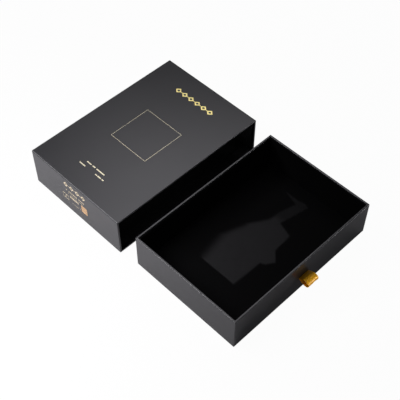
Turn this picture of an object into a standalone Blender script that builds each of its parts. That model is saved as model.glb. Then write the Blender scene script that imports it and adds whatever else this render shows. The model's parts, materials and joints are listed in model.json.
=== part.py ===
"""Sliding drawer gift box: a paper-covered board sleeve and the ribbon-pull tray that slides into it.

Metres, +Z up. The origin is the middle of the sleeve's base, on the table. X runs along the long
side, and the tray comes out of the front mouth, towards -Y.
"""

import math

import bmesh
import bpy
from mathutils import Vector

# The sleeve outside
SLEEVE_LENGTH = 0.2200
SLEEVE_DEPTH = 0.1490
SLEEVE_HEIGHT = 0.0544

# Board, paper and the glue between them
BOARD = 0.0018
PAPER = 0.00012
GLUE = 0.0001
MITRE_GAP = 0.0001
FOLD_SHARE = 2.5
BOARD_FOLD_SHARE = 1 / 3
INNER_FOLD_RADIUS = 0.0002

# The sleeve's papers
MOUTH_TURN_IN = 0.0140
LINER_INSET = 0.0040
LINER_JOGGLE = 0.0010
BASE_SHEET_INSET = 0.0025
BASE_SHEET_CLIP = 0.0030

# How the tray runs in the sleeve, and how far out it stands
SIDE_CLEARANCE = 0.0003
SLIDE_CLEARANCE = 0.0003
TOP_CLEARANCE = 0.0005
MOUTH_INSET = 0.0006
TRAY_STAND_OFF = 0.0260

# The tray's papers, corner stays and lining
STAY = 0.0001
STAY_LEG = 0.0120
STAY_END_GAP = 0.0030
UNDER_TURN = 0.0150
LINING = 0.0010
LINING_DROP = 0.0016
LINING_CORNER = 0.0012
PAD = 0.0015
PAD_CLEARANCE = 0.0003
PAD_EASE = 0.0004

# The ribbon pull
RIBBON_WIDTH = 0.0160
RIBBON = 0.0004
LOOP_REACH = 0.0136
LOOP_HEIGHT = 0.0078
LOOP_DROOP = 0.0006
SLOT_HEIGHT_SHARE = 0.47
SLOT_CLEARANCE = 0.0003
TAIL = 0.0090
TAIL_BEND = 0.0003
TAIL_SET_BACK = 0.0003
TAIL_TO_TURN_OVER = 0.0016
TAPE_MARGIN = 0.0040
CUT_OVERRUN = 0.0010

# Half the distance between the loop's two layers at its neck, as a share of the ribbon's
# thickness; the height of a teardrop of unit swell; and how finely round stretches are drawn
LAYER_PARTING_SHARE = 0.75
TEARDROP_PEAK_SHARE = 4 / (3 * math.sqrt(3))
CORNER_STEPS = 4
FOLD_STEPS = 4
LOOP_STEPS = 40
BEND_STEPS = 3
SMOOTH_ANGLE = math.radians(40)

# Colour, roughness and metallic value of each kind of surface
GREY_BOARD = ((0.30, 0.28, 0.25, 1), 0.90, 0.0)
SATIN_BLACK_PAPER = ((0.022, 0.022, 0.024, 1), 0.34, 0.0)
PLAIN_BLACK_PAPER = ((0.012, 0.012, 0.013, 1), 0.60, 0.0)
STAY_TAPE = ((0.45, 0.33, 0.19, 1), 0.80, 0.0)
BLACK_FLOCK = ((0.004, 0.004, 0.004, 1), 0.95, 0.0)
GOLD_SATIN = ((0.62, 0.33, 0.03, 1), 0.38, 0.0)

# Paper turns a sharp board edge as roundly as its glue line allows, and wider over a corner stay.
# Where the board itself is folded, its outside is round and the paper follows it
FOLD_RADIUS = GLUE * FOLD_SHARE
TRAY_FOLD_RADIUS = FOLD_RADIUS + STAY + GLUE
BOARD_FOLD_RADIUS = BOARD * BOARD_FOLD_SHARE
SLEEVE_EDGE_RADIUS = BOARD_FOLD_RADIUS + GLUE + PAPER

# Layers of the sleeve's wall, as distances in from its outer face
SLEEVE_BOARD_IN = PAPER + GLUE
SLEEVE_TURN_IN = SLEEVE_BOARD_IN + BOARD + GLUE
SLEEVE_LINER_IN = SLEEVE_TURN_IN + PAPER + GLUE
SLEEVE_WALL = SLEEVE_LINER_IN + PAPER

# Levels of the sleeve
SLEEVE_WRAP_BOTTOM = PAPER + GLUE
SLEEVE_WRAP_HALF_HEIGHT = (SLEEVE_HEIGHT - SLEEVE_WRAP_BOTTOM) / 2
SLEEVE_MIDDLE = SLEEVE_WRAP_BOTTOM + SLEEVE_WRAP_HALF_HEIGHT

# Layers of the tray's wall, as distances in from its outer face
TRAY_STAY_IN = PAPER + GLUE
TRAY_BOARD_IN = TRAY_STAY_IN + STAY + GLUE
TRAY_TURN_IN = TRAY_BOARD_IN + BOARD + GLUE
TRAY_LINING_IN = TRAY_TURN_IN + PAPER + GLUE
TRAY_WALL = TRAY_LINING_IN + LINING

# The tray outside, which fits the sleeve's hollow
TRAY_LENGTH = SLEEVE_LENGTH - 2 * (SLEEVE_WALL + SIDE_CLEARANCE)
TRAY_DEPTH = SLEEVE_DEPTH - 2 * MOUTH_INSET
TRAY_LEVEL = SLEEVE_WRAP_BOTTOM + SLEEVE_WALL + SLIDE_CLEARANCE
TRAY_HEIGHT = SLEEVE_HEIGHT - SLEEVE_WALL - TOP_CLEARANCE - TRAY_LEVEL
TRAY_REST_Y = -(SLEEVE_DEPTH / 2 + TRAY_STAND_OFF + TRAY_DEPTH / 2)

# Levels of the tray, above its own underside
TRAY_WRAP_BOTTOM = PAPER + GLUE
TRAY_BOARD_BOTTOM = TRAY_WRAP_BOTTOM + PAPER + GLUE
TRAY_BOARD_TOP = TRAY_HEIGHT - PAPER - GLUE
TRAY_FLOOR = TRAY_BOARD_BOTTOM + BOARD
SLOT_LEVEL = TRAY_HEIGHT * SLOT_HEIGHT_SHARE
TURN_OVER_EDGE = SLOT_LEVEL + TAIL + TAIL_TO_TURN_OVER


def clear_objects():
    """Start from an empty set of objects."""
    for old in list(bpy.data.objects):
        bpy.data.objects.remove(old)


def finish(name, surface):
    """A Principled material from a colour, a roughness and a metallic value."""
    colour, roughness, metallic = surface
    material = bpy.data.materials.new(name + "_finish")
    material.use_nodes = True
    shader = material.node_tree.nodes["Principled BSDF"]
    shader.inputs["Base Color"].default_value = colour
    shader.inputs["Roughness"].default_value = roughness
    shader.inputs["Metallic"].default_value = metallic
    material.diffuse_color = colour
    return material


def empty(name, place, parent=None):
    """An axis that pieces hang on."""
    axis = bpy.data.objects.new(name, None)
    bpy.context.collection.objects.link(axis)
    axis.parent = parent
    axis.location = place
    return axis


def piece(name, shape, surface, parent=None):
    """Make a bmesh a named object, with its origin in the middle of its shape."""
    bmesh.ops.recalc_face_normals(shape, faces=shape.faces[:])
    lows = [min(vert.co[axis] for vert in shape.verts) for axis in range(3)]
    highs = [max(vert.co[axis] for vert in shape.verts) for axis in range(3)]
    middle = (Vector(lows) + Vector(highs)) / 2
    bmesh.ops.translate(shape, verts=shape.verts[:], vec=-middle)
    mesh = bpy.data.meshes.new(name)
    shape.to_mesh(mesh)
    shape.free()
    mesh.shade_smooth()
    mesh.set_sharp_from_angle(angle=SMOOTH_ANGLE)
    made = bpy.data.objects.new(name, mesh)
    bpy.context.collection.objects.link(made)
    if surface:
        mesh.materials.append(finish(name, surface))
    made.parent = parent
    made.location = middle
    return made


def loft(rings, closed=False):
    """Join rings of as many points each. A closed loft comes back to its first ring."""
    shape = bmesh.new()
    loops = [[shape.verts.new(point) for point in ring] for ring in rings]
    pairs = list(zip(loops, loops[1:]))
    if closed:
        pairs.append((loops[-1], loops[0]))
    else:
        shape.faces.new(loops[0])
        shape.faces.new(loops[-1])
    for one, other in pairs:
        count = len(one)
        for i in range(count):
            j = (i + 1) % count
            shape.faces.new((one[i], one[j], other[j], other[i]))
    return shape


def upright(a, b, level):
    """A point of a level outline: a along X, b along Y."""
    return Vector((a, b, level))


def frontwise(a, b, level):
    """A point of an outline that faces Y: a along X, b along Z."""
    return Vector((a, level, b))


def endwise(a, b, level):
    """A point of an outline that faces X: a along Y, b along Z."""
    return Vector((level, a, b))


def rounded_rectangle(half_a, half_b, radius):
    """Points round a rectangle with arcs for corners."""
    points = []
    for quarter, (side_a, side_b) in enumerate(((1, 1), (-1, 1), (-1, -1), (1, -1))):
        for step in range(CORNER_STEPS + 1):
            turn = math.pi / 2 * (quarter + step / CORNER_STEPS)
            a = side_a * (half_a - radius) + radius * math.cos(turn)
            b = side_b * (half_b - radius) + radius * math.sin(turn)
            points.append((a, b))
    return points


def clipped_rectangle(half_a, half_b, clip):
    """Points round a rectangle whose corners are cut off."""
    points = []
    for side_a, side_b in ((1, 1), (-1, 1), (-1, -1), (1, -1)):
        near_a = (side_a * half_a, side_b * (half_b - clip))
        near_b = (side_a * (half_a - clip), side_b * half_b)
        points += [near_a, near_b] if side_a == side_b else [near_b, near_a]
    return points


def folded_sheet(corners, radius, thickness):
    """The closed section of a sheet folded square round what lies to the right of its path."""
    covered = []
    outer = []
    for i, (u, v) in enumerate(corners):
        ahead = corners[min(i + 1, len(corners) - 1)]
        behind = corners[max(i - 1, 0)]
        arriving = Vector((u - behind[0], v - behind[1])).normalized()
        leaving = Vector((ahead[0] - u, ahead[1] - v)).normalized()
        here = Vector((u, v))
        if i in (0, len(corners) - 1):
            along = leaving if i == 0 else arriving
            outward = Vector((-along.y, along.x))
            covered.append(here)
            outer.append(here + outward * thickness)
            continue
        centre = here - arriving * radius + leaving * radius
        for step in range(FOLD_STEPS + 1):
            turn = math.pi / 2 * step / FOLD_STEPS
            spoke = arriving * math.sin(turn) - leaving * math.cos(turn)
            covered.append(centre + spoke * radius)
            outer.append(centre + spoke * (radius + thickness))
    return outer + covered[::-1]


def corner_radius(inset, wall, outer_radius, inner_radius):
    """The radius of a wall's corner at a distance in from its outer face."""
    depth = min(inset / wall, 1)
    return outer_radius + (inner_radius - outer_radius) * depth


def board(name, outlines, facing, levels, parent=None):
    """A board panel whose mitred edges make its inner face smaller than its outer one."""
    rings = []
    for (low_a, high_a, low_b, high_b), level in zip(outlines, levels):
        corners = ((low_a, low_b), (high_a, low_b), (high_a, high_b), (low_a, high_b))
        rings.append([facing(a, b, level) for a, b in corners])
    return piece(name, loft(rings), GREY_BOARD, parent)


def cutter(name, low, high, parent):
    """A hidden box that cuts its neighbours."""
    corners = ((low[0], low[1]), (high[0], low[1]), (high[0], high[1]), (low[0], high[1]))
    rings = [[upright(a, b, level) for a, b in corners] for level in (low[2], high[2])]
    box = piece(name, loft(rings), None, parent)
    box.hide_render = True
    box.display_type = "WIRE"
    return box


def cut(target, tool):
    """Take a cutter's box out of a piece."""
    difference = target.modifiers.new(tool.name, "BOOLEAN")
    difference.operation = "DIFFERENCE"
    difference.solver = "EXACT"
    difference.object = tool


def folded_board_edge():
    """How far in a panel's edge lies at each depth of the board: half a round fold, then a mitre."""
    edge = []
    for step in range(CORNER_STEPS):
        turn = math.pi / 4 * step / (CORNER_STEPS - 1)
        depth = BOARD_FOLD_RADIUS * (1 - math.cos(turn))
        inset = BOARD_FOLD_RADIUS * (1 - math.sin(turn))
        edge.append((depth, inset))
    edge.append((BOARD, BOARD))
    return edge


def sleeve_boards():
    """Four panels of one board that is grooved and folded round the sleeve's long edges."""
    half_depth = SLEEVE_DEPTH / 2 - SLEEVE_BOARD_IN
    outer_x = SLEEVE_LENGTH / 2 - SLEEVE_BOARD_IN
    bottom = SLEEVE_WRAP_BOTTOM + SLEEVE_BOARD_IN
    top = SLEEVE_HEIGHT - SLEEVE_BOARD_IN
    across = outer_x - MITRE_GAP
    low = bottom + MITRE_GAP
    high = top - MITRE_GAP
    edge = folded_board_edge()
    depths = [depth for depth, inset in edge]
    flat = [(inset - across, across - inset, -half_depth, half_depth) for depth, inset in edge]
    board("sleeve_top_board", flat, upright, [top - depth for depth in depths])
    board("sleeve_base_board", flat, upright, [bottom + depth for depth in depths])
    upended = [(-half_depth, half_depth, low + inset, high - inset) for depth, inset in edge]
    board("sleeve_left_board", upended, endwise, [depth - outer_x for depth in depths])
    board("sleeve_right_board", upended, endwise, [outer_x - depth for depth in depths])


def sleeve_ring(inset, y, radius):
    """A ring round the sleeve's hollow, at a distance in from its outer face."""
    outline = rounded_rectangle(SLEEVE_LENGTH / 2 - inset, SLEEVE_WRAP_HALF_HEIGHT - inset, radius)
    return [frontwise(a, SLEEVE_MIDDLE + b, y) for a, b in outline]


def sleeve_papers():
    """The covering that turns into both mouths, the lining over it and the base sheet."""
    mouth = SLEEVE_DEPTH / 2 - PAPER
    turned = SLEEVE_DEPTH / 2 - MOUTH_TURN_IN
    path = (
        (SLEEVE_TURN_IN, -turned),
        (SLEEVE_TURN_IN, -mouth),
        (PAPER, -mouth),
        (PAPER, mouth),
        (SLEEVE_TURN_IN, mouth),
        (SLEEVE_TURN_IN, turned),
    )
    rings = []
    for inset, y in folded_sheet(path, FOLD_RADIUS, PAPER):
        wall = SLEEVE_TURN_IN + PAPER
        radius = corner_radius(inset, wall, SLEEVE_EDGE_RADIUS, INNER_FOLD_RADIUS)
        rings.append(sleeve_ring(inset, y, radius))
    piece("sleeve_outer_wrap", loft(rings, closed=True), SATIN_BLACK_PAPER)

    edge = SLEEVE_DEPTH / 2 - LINER_INSET
    step_start = turned - GLUE
    step_end = step_start - LINER_JOGGLE
    over_board = SLEEVE_TURN_IN
    profile = (
        (SLEEVE_LINER_IN, -edge),
        (SLEEVE_LINER_IN, -step_start),
        (over_board, -step_end),
        (over_board, step_end),
        (SLEEVE_LINER_IN, step_start),
        (SLEEVE_LINER_IN, edge),
    )
    pasted = [sleeve_ring(inset, y, INNER_FOLD_RADIUS + PAPER) for inset, y in profile]
    seen = [sleeve_ring(inset + PAPER, y, INNER_FOLD_RADIUS) for inset, y in profile]
    piece("sleeve_inner_liner", loft(pasted + seen[::-1], closed=True), PLAIN_BLACK_PAPER)

    half_x = SLEEVE_LENGTH / 2 - BASE_SHEET_INSET
    half_y = SLEEVE_DEPTH / 2 - BASE_SHEET_INSET
    outline = clipped_rectangle(half_x, half_y, BASE_SHEET_CLIP)
    rings = [[upright(a, b, level) for a, b in outline] for level in (0, PAPER)]
    piece("sleeve_base_sheet", loft(rings), PLAIN_BLACK_PAPER)


def tray_boards(tray):
    """The base and four walls, mitred along every fold and standing corner."""
    outer_x = TRAY_LENGTH / 2 - TRAY_BOARD_IN
    outer_y = TRAY_DEPTH / 2 - TRAY_BOARD_IN
    across = outer_x - MITRE_GAP
    along = outer_y - MITRE_GAP
    outer = (-across, across, -along, along)
    inner = (BOARD - across, across - BOARD, BOARD - along, along - BOARD)
    board("tray_base_board", (outer, inner), upright, (TRAY_BOARD_BOTTOM, TRAY_FLOOR), tray)
    low = TRAY_BOARD_BOTTOM + MITRE_GAP
    outer = (-across, across, low, TRAY_BOARD_TOP)
    inner = (BOARD - across, across - BOARD, low + BOARD, TRAY_BOARD_TOP)
    front = board("tray_front_board", (outer, inner), frontwise, (-outer_y, BOARD - outer_y), tray)
    board("tray_back_board", (outer, inner), frontwise, (outer_y, outer_y - BOARD), tray)
    outer = (-outer_y, outer_y, low, TRAY_BOARD_TOP)
    inner = (BOARD - outer_y, outer_y - BOARD, low + BOARD, TRAY_BOARD_TOP)
    board("tray_left_board", (outer, inner), endwise, (-outer_x, BOARD - outer_x), tray)
    board("tray_right_board", (outer, inner), endwise, (outer_x, outer_x - BOARD), tray)
    return front


def tray_stays(tray):
    """A strip of gummed tape folded round each standing corner of the boards."""
    corner_x = TRAY_LENGTH / 2 - TRAY_STAY_IN - STAY
    corner_y = TRAY_DEPTH / 2 - TRAY_STAY_IN - STAY
    low = TRAY_BOARD_BOTTOM + STAY_END_GAP
    high = TRAY_BOARD_TOP - STAY_END_GAP
    path = ((corner_x - STAY_LEG, corner_y), (corner_x, corner_y), (corner_x, corner_y - STAY_LEG))
    section = folded_sheet(path, FOLD_RADIUS, STAY)
    for row, side_y in (("back", 1), ("front", -1)):
        for end, side_x in (("right", 1), ("left", -1)):
            outline = [(side_x * a, side_y * b) for a, b in section]
            rings = [[upright(a, b, level) for a, b in outline] for level in (low, high)]
            piece(f"tray_corner_stay_{row}_{end}", loft(rings), STAY_TAPE, tray)


def tray_ring(inset, level, radius):
    """A ring round the tray's hollow, at a distance in from its outer face."""
    outline = rounded_rectangle(TRAY_LENGTH / 2 - inset, TRAY_DEPTH / 2 - inset, radius)
    return [upright(a, b, level) for a, b in outline]


def tray_papers(tray):
    """The covering, from under the base up over the rim and down inside, and the base sheet."""
    under = TRAY_WRAP_BOTTOM + PAPER
    rim = TRAY_HEIGHT - PAPER
    path = (
        (UNDER_TURN, under),
        (PAPER, under),
        (PAPER, rim),
        (TRAY_TURN_IN, rim),
        (TRAY_TURN_IN, TURN_OVER_EDGE),
    )
    rings = []
    for inset, level in folded_sheet(path, FOLD_RADIUS, PAPER):
        wall = TRAY_TURN_IN + PAPER
        radius = corner_radius(inset, wall, TRAY_FOLD_RADIUS + PAPER, INNER_FOLD_RADIUS)
        rings.append(tray_ring(inset, level, radius))
    wrap = piece("tray_outer_wrap", loft(rings, closed=True), SATIN_BLACK_PAPER, tray)

    half_x = TRAY_LENGTH / 2 - BASE_SHEET_INSET
    half_y = TRAY_DEPTH / 2 - BASE_SHEET_INSET
    outline = clipped_rectangle(half_x, half_y, BASE_SHEET_CLIP)
    rings = [[upright(a, b, level) for a, b in outline] for level in (0, PAPER)]
    piece("tray_base_sheet", loft(rings), PLAIN_BLACK_PAPER, tray)
    return wrap


def tray_lining(tray):
    """The flocked card that stands round the walls, and the flocked pad on the floor."""
    low = TRAY_FLOOR + GLUE
    high = TRAY_HEIGHT - LINING_DROP
    inner_radius = LINING_CORNER
    outer_radius = LINING_CORNER + LINING
    rings = [
        tray_ring(TRAY_LINING_IN, low, outer_radius),
        tray_ring(TRAY_LINING_IN, high, outer_radius),
        tray_ring(TRAY_WALL, high, inner_radius),
        tray_ring(TRAY_WALL, low, inner_radius),
    ]
    lining = piece("tray_wall_lining", loft(rings, closed=True), BLACK_FLOCK, tray)

    edge = TRAY_WALL + PAD_CLEARANCE
    top = low + PAD
    radius = LINING_CORNER
    rings = [
        tray_ring(edge, low, radius),
        tray_ring(edge, top - PAD_EASE, radius),
        tray_ring(edge + PAD_EASE, top, radius),
    ]
    piece("tray_floor_pad", loft(rings), BLACK_FLOCK, tray)
    return lining


def loop_point(turn):
    """The middle of the ribbon round its teardrop loop: how far out, and how high."""
    swell = math.sin(turn / 2)
    out = LOOP_REACH * swell ** 2
    rise = LOOP_HEIGHT / 2 * math.sin(turn) * swell / TEARDROP_PEAK_SHARE
    return Vector((out, rise - LOOP_DROOP * swell ** 4))


def parting_turn():
    """Where round the loop its two layers have come as near as one ribbon allows."""
    rise = RIBBON * LAYER_PARTING_SHARE
    return math.sqrt(4 * rise * TEARDROP_PEAK_SHARE / LOOP_HEIGHT)


def ribbon_loop(hinge):
    """The loop outside the slot, closed at its neck and open from side to side."""
    first = parting_turn()
    outside = []
    inside = []
    for step in range(LOOP_STEPS + 1):
        turn = first + (2 * math.pi - 2 * first) * step / LOOP_STEPS
        nudge = first / LOOP_STEPS
        run = (loop_point(turn + nudge) - loop_point(turn - nudge)).normalized()
        outward = Vector((-run.y, run.x))
        outside.append(loop_point(turn) + outward * RIBBON / 2)
        inside.append(loop_point(turn) - outward * RIBBON / 2)
    rings = []
    for outline, x in (
        (outside, -RIBBON_WIDTH / 2),
        (outside, RIBBON_WIDTH / 2),
        (inside, RIBBON_WIDTH / 2),
        (inside, -RIBBON_WIDTH / 2),
    ):
        rings.append([endwise(-out, level, x) for out, level in outline])
    piece("ribbon_loop", loft(rings, closed=True), GOLD_SATIN, hinge)


def tail_outline(near, far):
    """One half of the ribbon behind the slot: from its neck out to the end of one tail."""
    points = [(near, 0), (near, RIBBON)]
    centre = Vector((far - TAIL_BEND, RIBBON + TAIL_BEND))
    for step in range(BEND_STEPS + 1):
        turn = math.pi / 2 * step / BEND_STEPS
        points.append((centre.x + TAIL_BEND * math.sin(turn), centre.y - TAIL_BEND * math.cos(turn)))
    points += [(far, TAIL), (far + RIBBON, TAIL), (far + RIBBON, 0)]
    return points


def ribbon_tails(tray):
    """Two layers through the slot, one turned up and one down against the board, under a tape."""
    face = -TRAY_DEPTH / 2
    near = TAIL_SET_BACK
    far = TRAY_TURN_IN
    above = tail_outline(near, far)
    below = [(a, -b) for a, b in above[1:-1]]
    outline = above + below[::-1]
    rings = []
    for x in (-RIBBON_WIDTH / 2, RIBBON_WIDTH / 2):
        rings.append([endwise(face + a, SLOT_LEVEL + b, x) for a, b in outline])
    piece("ribbon_tails", loft(rings), GOLD_SATIN, tray)

    half_x = RIBBON_WIDTH / 2 + TAPE_MARGIN
    half_z = TAIL + TAPE_MARGIN
    clip = TAPE_MARGIN / 2
    start = face + far + RIBBON + GLUE
    outline = clipped_rectangle(half_x, half_z, clip)
    rings = []
    for level in (start, start + PAPER):
        rings.append([frontwise(a, SLOT_LEVEL + b, level) for a, b in outline])
    piece("ribbon_anchor_tape", loft(rings), STAY_TAPE, tray)


def cut_ribbon_room(tray, front_board, wrap, lining):
    """The slot through the front wall, and the relief in the lining over the tails."""
    face = -TRAY_DEPTH / 2
    half_x = RIBBON_WIDTH / 2 + SLOT_CLEARANCE
    half_z = RIBBON + SLOT_CLEARANCE
    low = (-half_x, face - CUT_OVERRUN, SLOT_LEVEL - half_z)
    high = (half_x, face + TRAY_LINING_IN, SLOT_LEVEL + half_z)
    slot = cutter("slot_cutter", low, high, tray)
    cut(front_board, slot)
    cut(wrap, slot)

    half_x = RIBBON_WIDTH / 2 + TAPE_MARGIN + SLOT_CLEARANCE
    half_z = TAIL + TAPE_MARGIN + SLOT_CLEARANCE
    depth = TRAY_TURN_IN + RIBBON + GLUE + PAPER + GLUE
    low = (-half_x, face + TRAY_BOARD_IN, SLOT_LEVEL - half_z)
    high = (half_x, face + depth, SLOT_LEVEL + half_z)
    cut(lining, cutter("relief_cutter", low, high, tray))


def main():
    """Build the sleeve, the tray and the ribbon."""
    clear_objects()
    sleeve_boards()
    sleeve_papers()
    tray = empty("tray_slide_axis", (0, TRAY_REST_Y, TRAY_LEVEL))
    front_board = tray_boards(tray)
    tray_stays(tray)
    wrap = tray_papers(tray)
    lining = tray_lining(tray)
    hinge = empty("ribbon_hinge_axis", (0, -TRAY_DEPTH / 2, SLOT_LEVEL), tray)
    ribbon_loop(hinge)
    ribbon_tails(tray)
    cut_ribbon_room(tray, front_board, wrap, lining)


main()
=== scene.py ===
"""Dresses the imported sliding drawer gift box: covering paper, flock, ribbon, foil and a studio."""

import json
import math
from collections import namedtuple

import bmesh
import bpy
from mathutils import Euler, Matrix, Vector, noise


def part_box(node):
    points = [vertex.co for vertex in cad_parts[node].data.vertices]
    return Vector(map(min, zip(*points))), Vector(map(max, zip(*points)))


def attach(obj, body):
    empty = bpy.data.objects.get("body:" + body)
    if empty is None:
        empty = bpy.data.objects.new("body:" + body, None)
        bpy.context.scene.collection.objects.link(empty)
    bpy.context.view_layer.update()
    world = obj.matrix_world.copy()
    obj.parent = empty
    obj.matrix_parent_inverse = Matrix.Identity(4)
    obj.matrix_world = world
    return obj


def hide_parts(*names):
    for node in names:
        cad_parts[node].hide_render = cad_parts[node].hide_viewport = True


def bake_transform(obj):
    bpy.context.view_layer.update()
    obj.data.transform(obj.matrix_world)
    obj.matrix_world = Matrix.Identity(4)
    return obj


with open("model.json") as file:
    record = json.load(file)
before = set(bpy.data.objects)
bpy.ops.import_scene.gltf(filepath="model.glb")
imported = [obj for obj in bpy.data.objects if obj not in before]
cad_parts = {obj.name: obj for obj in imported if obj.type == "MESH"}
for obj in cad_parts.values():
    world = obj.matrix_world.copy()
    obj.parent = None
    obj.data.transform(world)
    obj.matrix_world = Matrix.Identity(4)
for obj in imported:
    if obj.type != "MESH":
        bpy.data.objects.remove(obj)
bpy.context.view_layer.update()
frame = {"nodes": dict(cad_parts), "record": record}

bl_info = {
    "name": "Sliding drawer gift box",
    "version": (1, 0, 0),
    "blender": (4, 5, 0),
    "location": "View3D > Sidebar > Gift box",
    "description": "Dresses the packed gift box in paper, flock, ribbon and foil",
    "category": "Object",
}

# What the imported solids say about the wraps, the linings and the slot
SLEEVE_LOW, SLEEVE_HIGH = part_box("sleeve_outer_wrap")
TRAY_LOW, TRAY_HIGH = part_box("tray_outer_wrap")
LINING_LOW, LINING_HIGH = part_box("tray_wall_lining")
PAD_LOW, PAD_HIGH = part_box("tray_floor_pad")
TAILS_LOW, TAILS_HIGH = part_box("ribbon_tails")
TAPE_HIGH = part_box("ribbon_anchor_tape")[1]
TRAY_MIDDLE_Y = (TRAY_LOW.y + TRAY_HIGH.y) / 2
TRAY_FACE_Y = TRAY_LOW.y
SLOT_Z = (TAILS_LOW.z + TAILS_HIGH.z) / 2

# How far in from a wrap's outside its boards' inner faces are
SLEEVE_BOARD_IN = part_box("sleeve_left_board")[1].x - SLEEVE_LOW.x
TRAY_BOARD_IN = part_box("tray_left_board")[1].x - TRAY_LOW.x

# How finely round stretches are drawn, and where a smooth surface breaks
ARC_STEPS = 8
FOLD_STEPS = 6
PILE_STEPS = 4
TAIL_STEPS = 6
BEND_STEPS = 5
LOOP_STEPS = 72
SMOOTH_ANGLE = math.radians(40)

# The paper: points beside its folds and its flaps' edges, its inner corners, and how full its
# arch over the rim is
FOLD_SUPPORTS = (0.0006, 0.0016, 0.0035)
FLAP_STEP = (-0.00001, 0.00005)
INNER_CORNER = 0.0002
RIM_FULLNESS = 2.5

# The slot in the tray's paper, and how deep it is looked for
SLOT_CLEARANCE = 0.0003
SLOT_HALF_HEIGHT = 0.0007
SLOT_SEARCH = 0.001

# The wall lining: corners, points beside them, where even points end, how it clears the pad and
# the tape, and over how far it comes off the tape
LINING_CORNER = 0.0022
LINING_SUPPORTS = (0.0008,)
LINING_MARGIN = 0.004
PAD_CLEARANCE = 0.0003
TAPE_CLEARANCE = 0.0001
TAPE_EASE = 0.004

# The floor lining: its edge's radius and points, its corners and its fineness
PAD_EDGE = 0.0005
PAD_EDGE_STOPS = (0.0, 0.00008, 0.0002, PAD_EDGE, 2 * PAD_EDGE)
PAD_CORNER = 0.0012
PAD_PITCH = 0.0016

# How often the card ripples to the metre, and how far along the walls' upper edge
WALL_RIPPLES = 40
EDGE_RIPPLES = 60
FLOOR_RIPPLES = 30
EDGE_RIPPLE_SHARE = 0.8

# The painted sheen on the tray's floor: a lighter patch of flock colour where the floor catches the
# light, as an outline in the row's X and Y. The third number is how far in the side that starts
# there takes to come up to full strength.
SHEEN_PATCH_OUTLINE = (
    (-0.0535, -0.1440, 0.0015), (-0.0540, -0.1966, 0.0015), (-0.0124, -0.1976, 0.0015),
    (-0.0101, -0.2030, 0.0015), (0.0009, -0.2097, 0.0015), (0.0127, -0.1985, 0.0015),
    (0.0403, -0.1965, 0.0030), (0.0462, -0.1773, 0.0030), (0.0847, -0.1845, 0.0020),
    (0.0871, -0.1793, 0.0020), (0.0854, -0.1607, 0.0030), (0.0867, -0.1398, 0.0030),
    (0.0780, -0.1692, 0.0040), (0.0561, -0.1632, 0.0060), (0.0415, -0.1609, 0.0060),
    (0.0157, -0.1456, 0.0100), (-0.0182, -0.1338, 0.0160), (-0.0485, -0.1397, 0.0080),
)
# How much weaker the patch is at its right end, and where along X it gets so
SHEEN_PATCH_FADE = 0.55
SHEEN_PATCH_FADE_START = 0.043
SHEEN_PATCH_FADE_REACH = 0.012

# The ribbon across half its width: its points, and where its selvedge starts and rounds off
HALF_RIBBON = (0.2, 0.45, 0.7, 0.91, 0.955, 0.985, 1)
SELVEDGE_START = 0.9
SELVEDGE_ROUND_START = 0.955
SELVEDGE_ROUND = 0.05

# The waves of the loop: their height, and how they turn across and along it
WAVE_HEIGHT = 0.00012
WAVE_ACROSS = 5
WAVE_ALONG = 320

# The scale at which a wave texture repeats once a metre
WAVE_SCALE = 0.314

# The height of a teardrop of unit swell
TEARDROP_PEAK = 4 / (3 * math.sqrt(3))

# How round a solid square mark is for its size, how round other marks are, and the first seed
ROUNDING_SHARE = 0.12
FINE_ROUNDING = 0.00012
FIRST_SEED = 3

# How far the floor reaches, and how far it lies beneath the box
FLOOR_REACH = 4.0
FLOOR_DROP = 0.00005

# Each lamp: its name, where it stands, where it looks, its side, its power and its spread
LAMPS = (
    ("left_floor_lamp", (-0.42, 0.02, 0.55), (-0.36, 0.02, 0), 0.30, 2.55, 80),
    ("overhead_lamp", (0.475, 0.372, 1.20), (0, -0.05, 0), 0.69, 4.8, 180),
    ("back_lamp", (-0.47, 0.77, 1.23), (0, -0.05, 0), 0.42, 10.0, 180),
    ("edge_lamp", (-0.86, 0.83, 1.07), (-0.1, -0.05, 0.05), 0.25, 4.0, 180),
    ("low_front_lamp", (0.66, -1.10, 0.05), (0, -0.25, 0.03), 0.10, 5.5, 180),
    ("front_fill_lamp", (-0.10, -1.30, 0.90), (0, -0.15, 0), 0.50, 1.8, 180),
)


def length(name, description, default):
    """A size in metres that a user can change."""
    kind = {"min": 0.0, "precision": 5, "subtype": "DISTANCE", "unit": "LENGTH"}
    return bpy.props.FloatProperty(name=name, description=description, default=default, **kind)


def share(name, description, default):
    """A number from 0 to 1 that a user can change."""
    kind = {"min": 0.0, "max": 1.0, "subtype": "FACTOR"}
    return bpy.props.FloatProperty(name=name, description=description, default=default, **kind)


def tint(name, description, default):
    """A colour that a user can change."""
    kind = {"size": 3, "min": 0.0, "max": 1.0, "subtype": "COLOR"}
    return bpy.props.FloatVectorProperty(name=name, description=description, default=default, **kind)


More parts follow.
